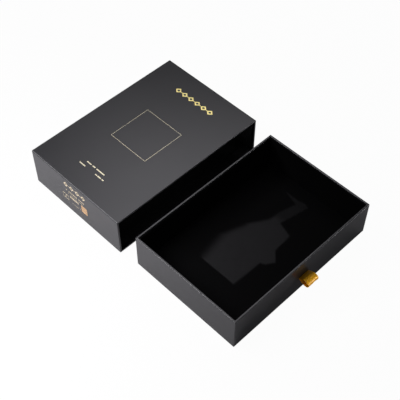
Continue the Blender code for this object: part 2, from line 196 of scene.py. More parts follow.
class PaperSizes(bpy.types.PropertyGroup):
    """The covering paper, its folds and its glue lines."""

    thickness: length("Paper", "Thickness of the covering paper", 0.00012)
    glue: length("Glue line", "Gap that the glue fills between paper and board", 0.0001)
    sleeve_fold: length("Sleeve fold", "Inner radius of the paper at the mouths", 0.00025)
    board_fold: length("Board fold", "Outer radius of the paper where the board is folded", 0.00098)
    board_crown: share("Board crown", "How much further a board fold runs onto the top", 0.40)
    rim_crown: length("Rim crown", "How far the paper over the rim falls away", 0.00055)
    tray_fold: length("Tray fold", "Inner radius of the paper round the tray", 0.00045)
    mouth_turn_in: length("Mouth turn-in", "How far the paper runs into the sleeve's mouths", 0.0140)
    rim_turn_over: length("Rim turn-over", "How far the paper runs down inside the tray", 0.0151)
    under_turn: length("Under-turn", "How far the paper runs under the tray's base", 0.0150)
    corner_flap: length("Corner flap", "Width of the flap beside a standing corner", 0.0012)
    flap_depth: length("Flap depth", "How far the flap lies below its panel", 0.00006)
    mitre_depth: length("Mitre depth", "Depth of the crease at a corner", 0.00005)
    rubbed_reach: length("Rubbed reach", "How far rubbing shows from a fold", 0.0016)
    colour: tint("Paper colour", "Colour under the satin film", (0.0060, 0.0062, 0.0068))
    rubbed: tint("Rubbed colour", "Colour of a rubbed edge", (0.050, 0.0495, 0.048))
    lining: tint("Lining paper", "Colour inside and beneath", (0.0080, 0.0080, 0.0086))


class FlockSizes(bpy.types.PropertyGroup):
    """The flocked card that lines the tray."""

    pitch: length("Fineness", "Distance between the points that the card is drawn with", 0.0035)
    edge: length("Edge rounding", "Radius of the pile over the card's cut edge", 0.00035)
    ripple: length("Ripple", "How far the card strays from flat", 0.00010)
    tape_swell: length("Tape swell", "How far the ribbon's tape pushes the card out", 0.00012)
    colour: tint("Flock", "Colour of the pile", (0.0026, 0.0026, 0.0027))
    # Painted sheen: a lighter flock colour for the patch of floor that catches the light
    painted_sheen: tint("Flock sheen", "Colour of pile that is brushed over", (0.0115, 0.0115, 0.0118))


class RibbonSizes(bpy.types.PropertyGroup):
    """The satin ribbon, from one tail through the slot, round the loop and back."""

    thickness: length("Satin", "Thickness of the woven ribbon", 0.00034)
    selvedge: length("Selvedge", "Thickness of the ribbon's woven edge", 0.00038)
    reach: length("Reach", "How far the loop stands out of the tray", 0.0136)
    height: length("Height", "Height of the loop", 0.0078)
    droop: length("Droop", "How far the loop's end hangs down", 0.0006)
    layer: length("Layer", "How far a layer is from the slot's middle", 0.0002)
    bend: length("Tail bend", "Radius at which a tail turns up or down", 0.0005)
    cupping: length("Cupping", "How far the edges curl up at the loop's end", 0.00018)
    thread: length("Thread", "Pitch of the satin's threads", 0.00022)
    colour: tint("Ribbon", "Colour of the satin", (0.94, 0.50, 0.006))
    shaded: tint("Ribbon shade", "Colour of the satin between its threads", (0.82, 0.32, 0.004))


class FoilSizes(bpy.types.PropertyGroup):
    """The hot-stamped gold marks."""

    thickness: length("Foil", "Height of the foil above the paper", 0.00002)
    square: length("Square", "Side of the outlined square on the top", 0.0585)
    line: length("Line", "Width of the square's line", 0.00027)
    lozenge: length("Lozenge", "Height of a lozenge in the heading row", 0.0080)
    bar: length("Bar", "Height of the small bars", 0.0014)
    colour: tint("Foil colour", "Colour of the heading's foil", (0.88, 0.79, 0.33))
    pale_colour: tint("Pale foil colour", "Colour of the square and lines", (0.80, 0.78, 0.58))
    end_colour: tint("End foil colour", "Colour of the foil on the sleeve's end", (0.80, 0.70, 0.50))
    block_colour: tint("Block colour", "Colour of the three bars on the end", (0.74, 0.48, 0.25))


class StudioSizes(bpy.types.PropertyGroup):
    """The floor, the lamps and the camera."""

    floor: tint("Floor", "Colour of the floor", (0.43, 0.43, 0.43))
    camera_place: bpy.props.FloatVectorProperty(
        name="Camera place",
        description="Where the camera stands",
        default=(-0.4429, -0.5331, 0.7932),
        subtype="TRANSLATION",
        unit="LENGTH",
    )
    camera_turn: bpy.props.FloatVectorProperty(
        name="Camera turn",
        description="How the camera is turned",
        default=(math.radians(38.752), math.radians(-0.204), math.radians(-44.778)),
        subtype="EULER",
        unit="ROTATION",
    )
    lens: bpy.props.FloatProperty(name="Lens", description="Focal length in mm", default=77.40)
    ambient: share("Ambient", "Strength of the light from all round", 0.05)
    lamp_tint: tint("Lamp tint", "Colour of the lamps' light", (0.965, 0.945, 1.0))
    white_behind: share("White behind", "How far the camera sees what is behind as white", 0.97)
    white_mirrored: share("White mirrored", "The same for gloss and glass", 0.01)


def sizes(group):
    """One group of settings of the scene."""
    return getattr(bpy.context.scene, "giftbox_" + group)


class Signal:
    """The output of a node. Arithmetic on it adds Math nodes."""

    def __init__(self, wiring, socket):
        self.wiring = wiring
        self.socket = socket

    def maths(self, operation, first, second):
        return self.wiring.node("ShaderNodeMath", {"operation": operation}, {0: first, 1: second})

    def __add__(self, other):
        return self.maths("ADD", self, other)

    def __radd__(self, other):
        return self.maths("ADD", other, self)

    def __sub__(self, other):
        return self.maths("SUBTRACT", self, other)

    def __mul__(self, other):
        return self.maths("MULTIPLY", self, other)


class Wiring:
    """A node tree under construction."""

    def __init__(self, tree):
        self.tree = tree

    def node(self, kind, settings=None, inputs=None, output=0):
        """Add a node: its settings first, then the values or links of its sockets."""
        made = self.tree.nodes.new(kind)
        for key, value in (settings or {}).items():
            setattr(made, key, value)
        self.feed(made, inputs or {})
        return Signal(self, made.outputs[output])

    def feed(self, target, inputs):
        """Set or link a node's sockets."""
        for key, value in inputs.items():
            socket = target.inputs[key]
            if isinstance(value, Signal):
                self.tree.links.new(value.socket, socket)
            else:
                socket.default_value = value


class Finish(Wiring):
    """A material under construction, with the nodes that every finish needs."""

    def __init__(self, name):
        self.material = bpy.data.materials.new(name)
        self.material.use_nodes = True
        super().__init__(self.material.node_tree)
        self.shader = self.tree.nodes["Principled BSDF"]

    def place(self, stretch=(1, 1, 1), output="Object"):
        """Where a point of the piece is, or on the cloth with UV, in metres stretched by axis."""
        here = self.node("ShaderNodeTexCoord", output=output)
        return self.node("ShaderNodeMapping", None, {"Vector": here, "Scale": stretch})

    def noise(self, place, scale, detail=2.0, roughness=0.5):
        """Smooth random values about 0.5, with as many swings to the metre as the scale."""
        values = {"Vector": place, "Scale": scale, "Detail": detail, "Roughness": roughness}
        return self.node("ShaderNodeTexNoise", None, values)

    def grade(self, value, low, high):
        """Redraw a value so that it rises from 0 to 1 between two levels."""
        values = {"Value": value, "From Min": low, "From Max": high}
        return self.node("ShaderNodeMapRange", None, values)

    def attribute(self, name):
        """A value that the mesh carries at its points."""
        return self.node("ShaderNodeAttribute", {"attribute_name": name}, output="Fac")

    def mix(self, one, other, factor):
        """A colour between two."""
        ends = [colour if isinstance(colour, Signal) else (*colour, 1.0) for colour in (one, other)]
        values = {0: factor, 6: ends[0], 7: ends[1]}
        return self.node("ShaderNodeMix", {"data_type": "RGBA"}, values, output=2)

    def bump(self, height, distance, normal=None):
        """A normal from a height from 0 to 1 and what 1 is worth in metres."""
        values = {"Height": height, "Distance": distance}
        if normal:
            values["Normal"] = normal
        return self.node("ShaderNodeBump", None, values)

    def done(self, **inputs):
        """Set the Principled shader, whose sockets are named with _ for a space."""
        self.feed(self.shader, {key.replace("_", " "): value for key, value in inputs.items()})
        return self.material


def covering_paper():
    """Black paper under a satin film, rubbed a little along its folds."""
    paper = sizes("paper")
    finish = Finish("covering_paper")
    place = finish.place()
    cloudy = finish.noise(place, 22, 2)
    fibre = finish.noise(place, 1300, 3, 0.6)
    orange_peel = finish.noise(place, 160, 2)
    patchy = finish.grade(finish.noise(place, 420, 4, 0.65), 0.42, 0.72)
    rubbed = finish.attribute("rubbed") * patchy
    colour = finish.mix(paper.colour, [1.25 * level for level in paper.colour], cloudy)
    colour = finish.mix(colour, paper.rubbed, rubbed * 0.16)
    relief = finish.bump(orange_peel, 0.000012)
    relief = finish.bump(fibre, 0.000004, normal=relief)
    roughness = 0.30 + cloudy * 0.05 + rubbed * 0.10
    return finish.done(Base_Color=colour, Roughness=roughness, Normal=relief)


def plain_paper():
    """Uncoated black paper, inside the sleeve and under both bases."""
    finish = Finish("plain_black_paper")
    fibre = finish.noise(finish.place((1, 0.35, 1)), 1500, 4, 0.7)
    cloudy = finish.noise(finish.place(), 60, 3)
    dark = sizes("paper").lining
    colour = finish.mix(dark, [1.9 * level for level in dark], cloudy * 0.6 + fibre * 0.4)
    relief = finish.bump(fibre, 0.00001)
    return finish.done(Base_Color=colour, Roughness=0.62 + fibre * 0.16, Normal=relief)


def grey_board():
    """Recycled grey board: pressed fibre with darker and paler flecks."""
    finish = Finish("grey_board")
    place = finish.place()
    pulp = finish.noise(place, 700, 5, 0.7)
    flecks = finish.grade(finish.noise(place, 1900, 2), 0.60, 0.70)
    cloudy = finish.noise(place, 45, 2)
    colour = finish.mix((0.235, 0.220, 0.195), (0.360, 0.338, 0.300), pulp * 0.7 + cloudy * 0.3)
    colour = finish.mix(colour, (0.11, 0.10, 0.09), flecks * 0.6)
    relief = finish.bump(pulp, 0.00004)
    return finish.done(Base_Color=colour, Roughness=0.86 + pulp * 0.10, Normal=relief)


def gummed_tape():
    """Brown gummed paper tape with fibres along its run."""
    finish = Finish("gummed_tape")
    strands = finish.noise(finish.place((1, 1, 0.12)), 1800, 4, 0.65)
    cloudy = finish.noise(finish.place(), 120, 3)
    colour = finish.mix((0.36, 0.250, 0.135), (0.53, 0.395, 0.235), strands * 0.65 + cloudy * 0.35)
    relief = finish.bump(strands, 0.00001)
    return finish.done(Base_Color=colour, Roughness=0.60 + strands * 0.22, Normal=relief)


def flock():
    """Deep black pile, with a painted sheen where the floor catches the light."""
    pile = sizes("flock")
    finish = Finish("black_flock")
    place = finish.place()
    tufts = finish.noise(place, 3200, 2)
    shading = finish.noise(place, 90, 3)
    # Painted sheen: a lighter colour laid over the patch, varied by soft noise
    painted_sheen = finish.attribute("painted_sheen") * (0.80 + shading * 0.4)
    colour = finish.mix([0.6 * level for level in pile.colour], pile.colour, tufts)
    colour = finish.mix(colour, pile.painted_sheen, painted_sheen)
    return finish.done(
        Base_Color=colour,
        Roughness=0.92 + tufts * 0.08,
        Normal=finish.bump(tufts, 0.00012),
        Specular_IOR_Level=0.01,
        Sheen_Weight=0.004,
        Sheen_Roughness=0.5,
    )


def satin():
    """Gold satin whose long floats run the length of the ribbon."""
    ribbon = sizes("ribbon")
    finish = Finish("gold_satin")
    bands = {"wave_type": "BANDS", "bands_direction": "X", "wave_profile": "SIN"}
    cloth = finish.place(output="UV")
    weave = {"Vector": cloth, "Scale": WAVE_SCALE / ribbon.thread, "Distortion": 0.6, "Detail": 1.0}
    threads = finish.node("ShaderNodeTexWave", bands, weave)
    streaks = finish.noise(finish.place((1, 0.05, 1), "UV"), 2400, 3, 0.6)
    floats = finish.noise(finish.place((1, 0.25, 1), "UV"), 5200, 2)
    colour = finish.mix(ribbon.shaded, ribbon.colour, 0.35 + threads * 0.30 + streaks * 0.45)
    relief = finish.bump(threads, 0.00002)
    relief = finish.bump(floats, 0.000012, normal=relief)
    return finish.done(
        Base_Color=colour,
        Metallic=0.1,
        Roughness=0.30 + streaks * 0.16,
        Normal=relief,
        Sheen_Weight=0.12,
        Sheen_Roughness=0.35,
        Sheen_Tint=(1.0, 0.72, 0.30, 1.0),
    )


def metal_foil(name, colour):
    """Hot-stamped foil that follows the paper's tooth."""
    finish = Finish(name)
    place = finish.place()
    tooth = finish.noise(place, 1300, 3, 0.6)
    drift = finish.noise(place, 70, 2)
    deep = (colour[0] * 0.94, colour[1] * 0.87, colour[2] * 0.76)
    shade = finish.mix(colour, deep, drift)
    relief = finish.bump(tooth, 0.000006)
    return finish.done(Base_Color=shade, Metallic=1.0, Roughness=0.30 + tooth * 0.12, Normal=relief)


def white_share(wiring):
    """How far a ray sees what is behind the box as plain white."""
    studio = sizes("studio")
    rays = ("Is Camera Ray", "Is Glossy Ray", "Is Transmission Ray")
    seen, glossy, through = (wiring.node("ShaderNodeLightPath", output=ray) for ray in rays)
    return seen * studio.white_behind + (glossy + through) * studio.white_mirrored


def pale_floor():
    """A pale floor that keeps the box's shadow."""
    studio = sizes("studio")
    finish = Finish("pale_floor")
    mottled = finish.noise(finish.place(), 6, 2)
    colour = finish.mix(studio.floor, [0.985 * level for level in studio.floor], mottled)
    finish.done(Base_Color=colour, Roughness=0.85, Specular_IOR_Level=0.2)
    glow = finish.node("ShaderNodeEmission", None, {"Color": (1, 1, 1, 1), "Strength": 1.0})
    lit = Signal(finish, finish.shader.outputs[0])
    seen = finish.node("ShaderNodeMixShader", None, {0: white_share(finish), 1: lit, 2: glow})
    finish.feed(finish.tree.nodes["Material Output"], {"Surface": seen})
    return finish.material


def add_object(name, data):
    """Put a mesh, a light or a camera in the scene."""
    made = bpy.data.objects.new(name, data)
    bpy.context.scene.collection.objects.link(made)
    return made


def add_piece(name, shape, material, body=None, replaced=()):
    """Make a bmesh a piece of the box that rides on a body and stands for CAD nodes."""
    bmesh.ops.recalc_face_normals(shape, faces=shape.faces[:])
    mesh = bpy.data.meshes.new(name)
    shape.to_mesh(mesh)
    shape.free()
    mesh.shade_smooth()
    mesh.set_sharp_from_angle(angle=SMOOTH_ANGLE)
    mesh.materials.append(material)
    made = add_object(name, mesh)
    if body:
        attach(made, body)
    if replaced:
        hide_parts(*replaced)
    return made


def smooth_step(value):
    """Ease a value from 0 to 1."""
    value = min(max(value, 0.0), 1.0)
    return value * value * (3 - 2 * value)


def quarter_turn(steps):
    """Even angles from 0 to a right angle."""
    return [math.pi / 2 * step / steps for step in range(steps + 1)]


def join_rings(shape, rings):
    """Join each ring of points to the next with faces."""
    for one, other in zip(rings, rings[1:]):
        for i, vert in enumerate(one):
            j = (i + 1) % len(one)
            shape.faces.new((vert, one[j], other[j], other[i]))


# A point of an outline: its place, which way it faces, how far the nearest corner is, whether it
# is on a corner's mitre, and its side
Edge = namedtuple("Edge", "a b facing from_corner mitre side", defaults=(0.0, None))


def rounded_outline(half_a, half_b, radius, beside=(), marks=(), widening=0.0):
    """Edges round a rounded rectangle, with more beside each corner and at marks on its sides.

    Sides count from the one that faces +b: 0, then -a: 1, then -b: 2, then +a: 3. A mark is a
    side and a place along it. Widening draws the corners out along a.
    """
    edges = []
    radius_a = radius * (1 + widening)
    centre_a = half_a - radius_a
    centre_b = half_b - radius
    for quarter, (sign_a, sign_b) in enumerate(((1, 1), (-1, 1), (-1, -1), (1, -1))):
        for step in range(ARC_STEPS + 1):
            turn = math.pi / 2 * (quarter + step / ARC_STEPS)
            facing = Vector((math.cos(turn), math.sin(turn)))
            a = sign_a * centre_a + radius_a * facing.x
            b = sign_b * centre_b + radius * facing.y
            mitre = 1.0 if 2 * step == ARC_STEPS else 0.0
            edges.append(Edge(a, b, facing, 0.0, mitre))
        end = edges[-1]
        run = Vector((-end.facing.y, end.facing.x))
        reach = 2 * (centre_a if quarter % 2 == 0 else centre_b)
        stops = set(beside) | {reach - distance for distance in beside}
        stops |= {reach / 2 + mark * (run.x + run.y) for side, mark in marks if side == quarter}
        for stop in sorted(stops):
            near = min(stop, reach - stop)
            a, b = end.a + run.x * stop, end.b + run.y * stop
            edges.append(Edge(a, b, end.facing, near, 0.0, quarter))
    return edges


class Fold:
    """A point of a folded sheet's section: inset, level, which way it faces, and its layer."""

    def __init__(self, point, outward, outer, from_fold):
        self.inset, self.level = point
        self.outward = outward
        self.outer = outer
        self.from_fold = from_fold
        self.seam = 0.0


def folded_section(path, radius, thickness):
    """The closed section of a sheet folded square round what lies to the right of its path."""
    path = [Vector(corner) for corner in path]
    covered = []
    outer = []
    corners = []
    for before, here, after in zip(path, path[1:], path[2:]):
        if abs((here - before).cross(after - here)) > 1e-9:
            corners.append(here)

    def add(point, outward, from_fold):
        covered.append(Fold(point, outward, False, from_fold))
        outer.append(Fold(point + outward * thickness, outward, True, from_fold))

    for i, here in enumerate(path):
        arriving = (here - path[max(i - 1, 0)]).normalized()
        leaving = (path[min(i + 1, len(path) - 1)] - here).normalized()
        if here in corners:
            centre = here - arriving * radius + leaving * radius
            for turn in quarter_turn(FOLD_STEPS):
                spoke = arriving * math.sin(turn) - leaving * math.cos(turn)
                add(centre + spoke * radius, spoke, 0.0)
        else:
            along = leaving if leaving.length else arriving
            near = min((here - corner).length for corner in corners)
            add(here, Vector((-along.y, along.x)), near)
    return outer + covered[::-1]


def with_supports(path):
    """A path with points added beside each of its folds."""
    path = [Vector(corner) for corner in path]

    def beside(here, other):
        run = other - here
        return [here + run.normalized() * away for away in FOLD_SUPPORTS if away < run.length / 2]

    full = path[:1]
    for before, here, after in zip(path, path[1:], path[2:]):
        full += beside(here, before)[::-1] + [here] + beside(here, after)
    return full + path[-1:]


def cover(section, outline_at, place):
    """Loft a folded sheet round a box. Its points carry how much they are rubbed."""
    paper = sizes("paper")
    shape = bmesh.new()
    rubbed = shape.verts.layers.float.new("rubbed")
    rings = []
    for fold in section:
        ring = []
        for edge in outline_at(fold):
            a = edge.a
            level = fold.level
            if fold.outer:
                level -= fold.outward.y * paper.mitre_depth * edge.mitre
                if edge.side in (1, 3) and edge.from_corner < paper.corner_flap:
                    a += fold.outward.x * paper.flap_depth * edge.facing.x * fold.seam
            vert = shape.verts.new(place(a, edge.b, level))
            near = min(edge.from_corner, fold.from_fold)
            vert[rubbed] = 1 - smooth_step(near / paper.rubbed_reach) if fold.outer else 0.0
            ring.append(vert)
        rings.append(ring)
    join_rings(shape, rings + rings[:1])
    return shape


def corner_radius(inset, wall, outer_radius):
    """The radius of a wall's corner at a distance in from its outer face."""
    depth = min(max(inset / wall, 0), 1)
    return outer_radius + (INNER_CORNER - outer_radius) * depth


def crown_rim(section, wall):
    """Let the paper over a wall's upper edge fall away to both sides, as a flattened arch."""
    paper = sizes("paper")
    foot = TRAY_HIGH.z - paper.rim_crown
    for fold in section:
        if fold.level > foot:
            sheet = 0.0 if fold.outer else paper.thickness
            off_middle = abs(fold.inset - wall / 2) / (wall / 2 - sheet)
            fullness = max(1 - off_middle ** RIM_FULLNESS, 0.0) ** (1 / RIM_FULLNESS)
            fold.level = foot + (paper.rim_crown - sheet) * fullness


def pierce(shape, low, high):
    """Open a sheet right through where one face of each of its layers lies inside a box."""
    inside = []
    for face in shape.faces:
        middle = face.calc_center_median()
        if all(low[axis] < middle[axis] < high[axis] for axis in range(3)):
            inside.append(face)
    if len(inside) != 2:
        raise RuntimeError(f"the slot meets {len(inside)} faces of the sheet, and it needs 2")
    rims = list({edge for face in inside for edge in face.edges})
    bmesh.ops.delete(shape, geom=inside, context="FACES_ONLY")
    bmesh.ops.bridge_loops(shape, edges=rims)


def cover_sleeve():
    """The covering of the sleeve, turned into both mouths."""
    paper = sizes("paper")
    turn_in = SLEEVE_BOARD_IN + paper.glue
    wall = turn_in + paper.thickness
    half_x = SLEEVE_HIGH.x
    half_z = (SLEEVE_HIGH.z - SLEEVE_LOW.z) / 2
    middle_z = (SLEEVE_HIGH.z + SLEEVE_LOW.z) / 2
    mouth = SLEEVE_HIGH.y - paper.thickness
    turned = SLEEVE_HIGH.y - paper.mouth_turn_in
    back = [(paper.thickness, mouth), (turn_in, mouth), (turn_in, turned)]
    front = [(inset, -y) for inset, y in back[::-1]]
    section = folded_section(with_supports(front + back), paper.sleeve_fold, paper.thickness)

    def outline_at(fold):
        radius = corner_radius(fold.inset, wall, paper.board_fold)
        half_a, half_b = half_x - fold.inset, half_z - fold.inset
        return rounded_outline(half_a, half_b, radius, FOLD_SUPPORTS, widening=paper.board_crown)

    shape = cover(section, outline_at, lambda a, b, y: Vector((a, y, middle_z + b)))
    finish = covering_paper()
    add_piece("sleeve_cover", shape, finish, "sleeve", ["sleeve_outer_wrap"])


def cover_tray():
    """The covering of the tray, over the rim and under the base, with the ribbon's slot."""
    paper = sizes("paper")
    turn_in = TRAY_BOARD_IN + paper.glue
    wall = turn_in + paper.thickness
    half_x = TRAY_HIGH.x
    half_y = (TRAY_HIGH.y - TRAY_LOW.y) / 2
    under = TRAY_LOW.z + paper.thickness
    rim = TRAY_HIGH.z - paper.thickness
    slot_x = TAILS_HIGH.x + SLOT_CLEARANCE
    slot_low, slot_high = SLOT_Z - SLOT_HALF_HEIGHT, SLOT_Z + SLOT_HALF_HEIGHT
    folds = (
        (paper.under_turn, under),
        (paper.thickness, under),
        (paper.thickness, rim),
        (turn_in, rim),
        (turn_in, TRAY_HIGH.z - paper.rim_turn_over),
    )
    path = with_supports(folds)
    above = [point.y > SLOT_Z for point in path].index(True)
    path[above:above] = [(paper.thickness, slot_low), (paper.thickness, slot_high)]
    section = folded_section(path, paper.tray_fold, paper.thickness)
    # The flap's edge shows only where the paper stands upright and faces out
    for fold in section:
        fold.seam = 1.0 if fold.outward.x < -0.99 else 0.0
    crown_rim(section, wall)
    beside = (*FOLD_SUPPORTS, *(paper.corner_flap + step for step in FLAP_STEP))
    marks = ((2, -slot_x), (2, slot_x))

    def outline_at(fold):
        radius = corner_radius(fold.inset, wall, paper.tray_fold + paper.thickness)
        return rounded_outline(half_x - fold.inset, half_y - fold.inset, radius, beside, marks)

    shape = cover(section, outline_at, lambda a, b, level: Vector((a, TRAY_MIDDLE_Y + b, level)))
    low = (-slot_x, TRAY_FACE_Y - SLOT_SEARCH, slot_low)
    high = (slot_x, TRAY_FACE_Y + SLOT_SEARCH, slot_high)
    pierce(shape, low, high)
    add_piece("tray_cover", shape, covering_paper(), "tray", ["tray_outer_wrap"])


def spaced(reach, pitch):
    """Even stops along a side, none at its ends."""
    count = max(int(reach / pitch), 1)
    return [reach * step / count for step in range(1, count)]


def line_walls():
    """The flocked card round the tray's walls, with a soft upper edge."""
    pile = sizes("flock")
    half_x = LINING_HIGH.x
    half_y = (LINING_HIGH.y - LINING_LOW.y) / 2
    thick = PAD_LOW.x - LINING_LOW.x - PAD_CLEARANCE
    bottom, top = LINING_LOW.z, LINING_HIGH.z
    profile = [(0.0, bottom)]
    profile += [(0.0, bottom + stop) for stop in spaced(top - pile.edge - bottom, pile.pitch)]
    for turn in quarter_turn(PILE_STEPS):
        inset = pile.edge * (1 - math.cos(turn))
        profile.append((inset, top - pile.edge * (1 - math.sin(turn))))
    profile += [(thick - inset, level) for inset, level in profile[::-1]]
    marks = []
    for side, half in enumerate((half_x, half_y, half_x, half_y)):
        reach = 2 * (half - LINING_MARGIN)
        marks += [(side, stop - reach / 2) for stop in spaced(reach, pile.pitch)]

    def over_tape(edge, level):
        """How far a point of the front wall lies over the ribbon's tape."""
        if edge.side != 2 or not edge.from_corner:
            return 0.0
        over_x = 1 - smooth_step((abs(edge.a) - TAPE_HIGH.x) / TAPE_EASE)
        over_z = 1 - smooth_step((abs(level - SLOT_Z) - (TAPE_HIGH.z - SLOT_Z)) / TAPE_EASE)
        return over_x * over_z

    shape = bmesh.new()
    # The walls carry the painted sheen's layer too, left at zero
    shape.verts.layers.float.new("painted_sheen")
    rings = []
    for inset, level in profile:
        half_a, half_b, radius = half_x - inset, half_y - inset, LINING_CORNER - inset
        ring = []
        for edge in rounded_outline(half_a, half_b, radius, LINING_SUPPORTS, marks):
            here = Vector((edge.a, TRAY_MIDDLE_Y + edge.b, level))
            swell = over_tape(edge, level)
            push = pile.tape_swell * swell + abs(noise.noise(here * WALL_RIPPLES)) * pile.ripple
            if inset < thick / 2:
                clear = TAPE_HIGH.y + TAPE_CLEARANCE - LINING_LOW.y
                push = clear * swell if inset == 0 else 0.0
            if level > top - 2 * pile.edge:
                along = Vector((here.x * EDGE_RIPPLES, here.y * EDGE_RIPPLES, 3.0))
                here.z += noise.noise(along) * pile.ripple * EDGE_RIPPLE_SHARE
            here.xy -= edge.facing * push
            ring.append(shape.verts.new(here))
        rings.append(ring)
    join_rings(shape, rings + rings[:1])
    add_piece("tray_wall_flock", shape, flock(), "tray", ["tray_wall_lining"])


def line_floor():
    """The flocked card on the tray's floor, with a painted sheen in one lighter patch."""
    pile = sizes("flock")
    bottom, top = PAD_LOW.z, PAD_HIGH.z
    middle = (PAD_LOW + PAD_HIGH) / 2
    half = (PAD_HIGH - PAD_LOW) / 2
    axes = []
    for reach in (half.x, half.y):
        inner = reach - 3 * PAD_EDGE
        stops = [stop - reach for stop in PAD_EDGE_STOPS]
        stops += [stop - inner for stop in spaced(2 * inner, PAD_PITCH)]
        stops += [reach - stop for stop in PAD_EDGE_STOPS[::-1]]
        axes.append(stops)

    def tuck(a, b):
        """Bring a point near a square corner onto the round one."""
        over = Vector((abs(a) - (half.x - PAD_CORNER), abs(b) - (half.y - PAD_CORNER)))
        if over.x > 0 and over.y > 0:
            over *= max(over) / over.length
            a = math.copysign(half.x - PAD_CORNER + over.x, a)
            b = math.copysign(half.y - PAD_CORNER + over.y, b)
        return a, b

    shape = bmesh.new()
    painted_sheen = shape.verts.layers.float.new("painted_sheen")
    grid = []
    for square_a in axes[0]:
        column = []
        for square_b in axes[1]:
            a, b = tuck(square_a, square_b)
            inward = min(half.x - abs(square_a), half.y - abs(square_b))
            drop = max(PAD_EDGE - inward, 0.0)
            level = top - PAD_EDGE + math.sqrt(max(PAD_EDGE ** 2 - drop ** 2, 0.0))
            place = Vector((middle.x + a, middle.y + b, level))
            if inward > PAD_EDGE:
                here = Vector((place.x * FLOOR_RIPPLES, place.y * FLOOR_RIPPLES, 0.5))
                place.z -= abs(noise.noise(here)) * pile.ripple
            vert = shape.verts.new(place)
            # Painted sheen: how strongly the lighter patch is painted at this point
            vert[painted_sheen] = sheen_patch_strength(place.x, place.y)
            column.append(vert)
        grid.append(column)
    for one, other in zip(grid, grid[1:]):
        for i in range(len(one) - 1):
            shape.faces.new((one[i], other[i], other[i + 1], one[i + 1]))
    rim = grid[0][:-1] + [column[-1] for column in grid[:-1]]
    rim += grid[-1][:0:-1] + [column[0] for column in grid[:0:-1]]
    below = [shape.verts.new((vert.co.x, vert.co.y, bottom)) for vert in rim]
    join_rings(shape, [rim, below])
    shape.faces.new(below)
    add_piece("tray_floor_flock", shape, flock(), "tray", ["tray_floor_pad"])


def sheen_patch_strength(x, y):
    """How strong the painted sheen is at a place on the floor."""
    here = Vector((x, y))
    inside = False
    strength = 1 - SHEEN_PATCH_FADE * smooth_step((x - SHEEN_PATCH_FADE_START) / SHEEN_PATCH_FADE_REACH)
    for start, end in zip(SHEEN_PATCH_OUTLINE, SHEEN_PATCH_OUTLINE[1:] + SHEEN_PATCH_OUTLINE[:1]):
        one = Vector(start[:2])
        run = Vector(end[:2]) - one
        along = min(max((here - one).dot(run) / run.length_squared, 0.0), 1.0)
        depth = (here - one - run * along).length
        strength = min(strength, smooth_step(depth / start[2]))
        if (start[1] > y) != (end[1] > y) and x < one.x + run.x * (y - one.y) / run.y:
            inside = not inside
    return strength if inside else 0.0


def loop_point(turn):
    """The middle of the ribbon round its teardrop loop: how far out, and how high."""
    ribbon = sizes("ribbon")
    swell = math.sin(turn / 2)
    out = ribbon.reach * swell ** 2
    rise = ribbon.height / 2 * math.sin(turn) * swell / TEARDROP_PEAK
    return Vector((out, rise - ribbon.droop * swell ** 4))


def ribbon_path():
    """The ribbon's middle line from the end of one tail to the other, as out and rise."""
    ribbon = sizes("ribbon")
    far = TRAY_FACE_Y - TAILS_HIGH.y + ribbon.layer
    tail = TAILS_HIGH.z - SLOT_Z
    bend = Vector((far + ribbon.bend, ribbon.layer + ribbon.bend))
    stops = [step / TAIL_STEPS for step in range(TAIL_STEPS + 1)]
    half = [Vector((far, tail + (bend.y - tail) * stop)) for stop in stops[:-1]]
    for turn in quarter_turn(BEND_STEPS):
        half.append(bend - Vector((math.cos(turn), math.sin(turn))) * ribbon.bend)
    half += [Vector((bend.x * (1 - stop), ribbon.layer)) for stop in stops[1:]]
    parting = math.sqrt(6 * ribbon.layer * TEARDROP_PEAK / ribbon.height)
    reach = 2 * math.pi - 2 * parting
    loop = [loop_point(parting + reach * step / LOOP_STEPS) for step in range(LOOP_STEPS + 1)]
    lower = [Vector((point.x, -point.y)) for point in half[::-1]]
    return half + loop + lower


def make_ribbon():
    """The satin ribbon as one woven strip, which bends where it leaves the slot."""
    ribbon = sizes("ribbon")
    half_width = TAILS_HIGH.x
    path = ribbon_path()
    across = [-stop for stop in HALF_RIBBON[::-1]] + [0, *HALF_RIBBON]
    layers = [(stop, 1) for stop in across] + [(stop, -1) for stop in across[::-1]]
    shape = bmesh.new()
    weave = shape.loops.layers.uv.new("weave")
    spots = {}
    rings = []
    run = 0.0
    for i, centre in enumerate(path):
        ahead = path[min(i + 1, len(path) - 1)]
        behind = path[max(i - 1, 0)]
        along = (ahead - behind).normalized()
        outward = Vector((-along.y, along.x))
        run += (centre - behind).length
        out_share = smooth_step(centre.x / ribbon.reach)
        ring = []
        for stop, layer in layers:
            woven = ribbon.selvedge if abs(stop) > SELVEDGE_START else ribbon.thickness
            rounded = max(abs(stop) - SELVEDGE_ROUND_START, 0.0) / SELVEDGE_ROUND
            half_thick = woven / 2 * math.sqrt(1 - rounded ** 2)
            cup = ribbon.cupping * stop ** 4
            wave = WAVE_HEIGHT * math.sin(WAVE_ACROSS * stop + WAVE_ALONG * run)
            place = centre + outward * (layer * half_thick + (cup + wave) * out_share)
            vert = shape.verts.new((half_width * stop, TRAY_FACE_Y - place.x, SLOT_Z + place.y))
            spots[vert] = ((stop + 1) * half_width, run)
            ring.append(vert)
        rings.append(ring)
    join_rings(shape, rings)
    shape.faces.new(rings[0])
    shape.faces.new(rings[-1])
    for face in shape.faces:
        for loop in face.loops:
            loop[weave].uv = spots[loop.vert]
    made = add_piece("ribbon_pull", shape, satin())
    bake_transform(made)
    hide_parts("ribbon_loop", "ribbon_tails")


# What a row of foil marks is told, and the kind of each socket
MARK_INPUTS = {
    **dict.fromkeys(("Count", "Sides", "Seed"), "Int"),
    **dict.fromkeys(("Turn", "Size"), "Vector"),
    **dict.fromkeys(("Pitch", "Hollow", "Rounding", "Thickness", "Kept"), "Float"),
    "Material": "Material",
}


